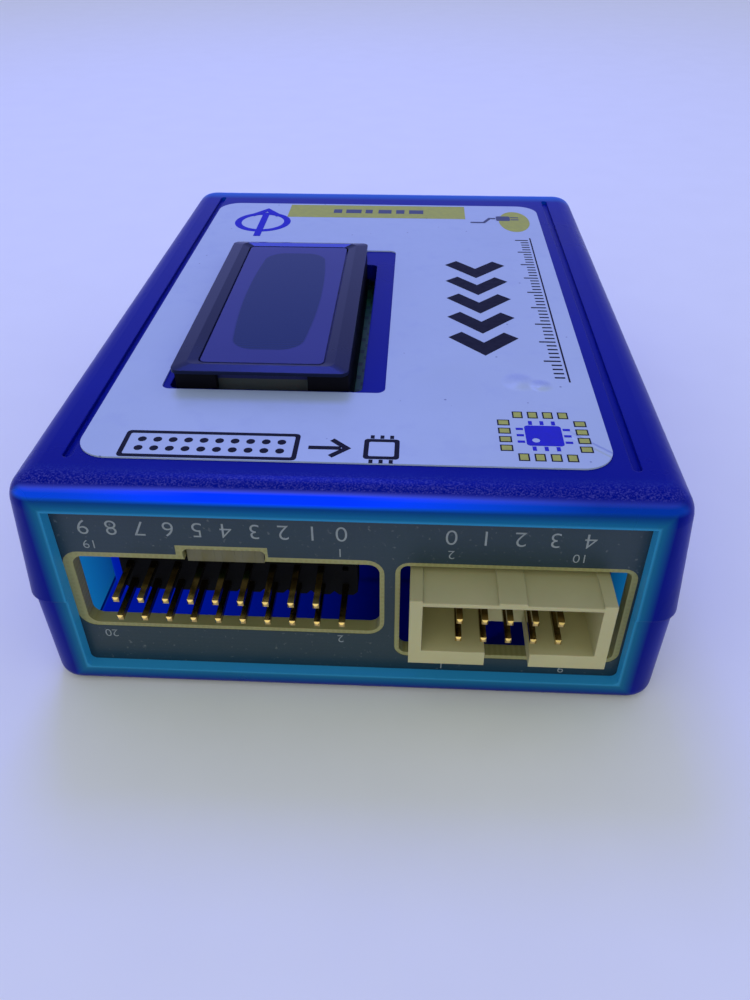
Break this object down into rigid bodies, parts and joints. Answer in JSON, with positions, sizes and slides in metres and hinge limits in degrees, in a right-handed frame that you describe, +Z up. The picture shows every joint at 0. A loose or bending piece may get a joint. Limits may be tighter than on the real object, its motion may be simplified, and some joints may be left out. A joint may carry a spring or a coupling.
{
  "type": "usb microcontroller programmer",
  "caption": "Small translucent two-shell case with a display in its labelled top and right-angle pin headers in one end, for programming microcontrollers over USB.",
  "frame": {"origin": "centre of the case's underside", "axes": "+Z up through the label, +Y along the case towards the USB socket, +X to the right when facing +Y; the pin headers face -Y"},
  "size_m": [0.0692, 0.0957, 0.031],
  "materials": {
    "case_blue": "satin, translucent",
    "label_paper": "glossy vinyl",
    "panel_board": "satin solder mask",
    "circuit_board": "satin solder mask",
    "black_plastic": "moulded",
    "ivory_plastic": "moulded",
    "gold_pin": "gold plated",
    "bezel_metal": "dark, polished",
    "display_glass": "polished",
    "frame_black": "moulded",
    "backlight_white": "diffuse",
    "nylon": "moulded",
    "screw_steel": "zinc plated",
    "tin_plate": "tinned",
    "chip_epoxy": "moulded",
    "can_aluminium": "satin",
    "ceramic_tan": "fired"
  },
  "bodies": {
    "root": {"top_shell": "case_blue", "bottom_shell": "case_blue", "label_sticker": "label_paper", "front_panel": "panel_board", "rear_panel": "panel_board", "main_board": "circuit_board", "display_board": "circuit_board", "pin_header_body": "black_plastic", "pin_header_pins": "gold_pin", "box_header_shroud": "ivory_plastic", "box_header_pins": "gold_pin", "display_bezel": "bezel_metal", "display_lens": "display_glass", "display_frame": "frame_black", "display_cell": "display_glass", "display_backlight": "backlight_white", "link_header_body": "black_plastic", "link_header_pins": "gold_pin", "display_spacers": "nylon", "display_screws": "screw_steel", "display_nuts": "screw_steel", "usb_shell": "tin_plate", "usb_insert": "black_plastic", "usb_contacts": "gold_pin", "microcontroller": "chip_epoxy", "microcontroller_leads": "tin_plate", "crystal": "tin_plate", "regulator": "chip_epoxy", "regulator_leads": "tin_plate", "capacitor_can": "can_aluminium", "capacitor_base": "black_plastic", "ceramic_capacitors": "ceramic_tan", "resistors": "chip_epoxy", "case_screws": "screw_steel", "board_screws": "screw_steel"}
  },
  "joints": []
}
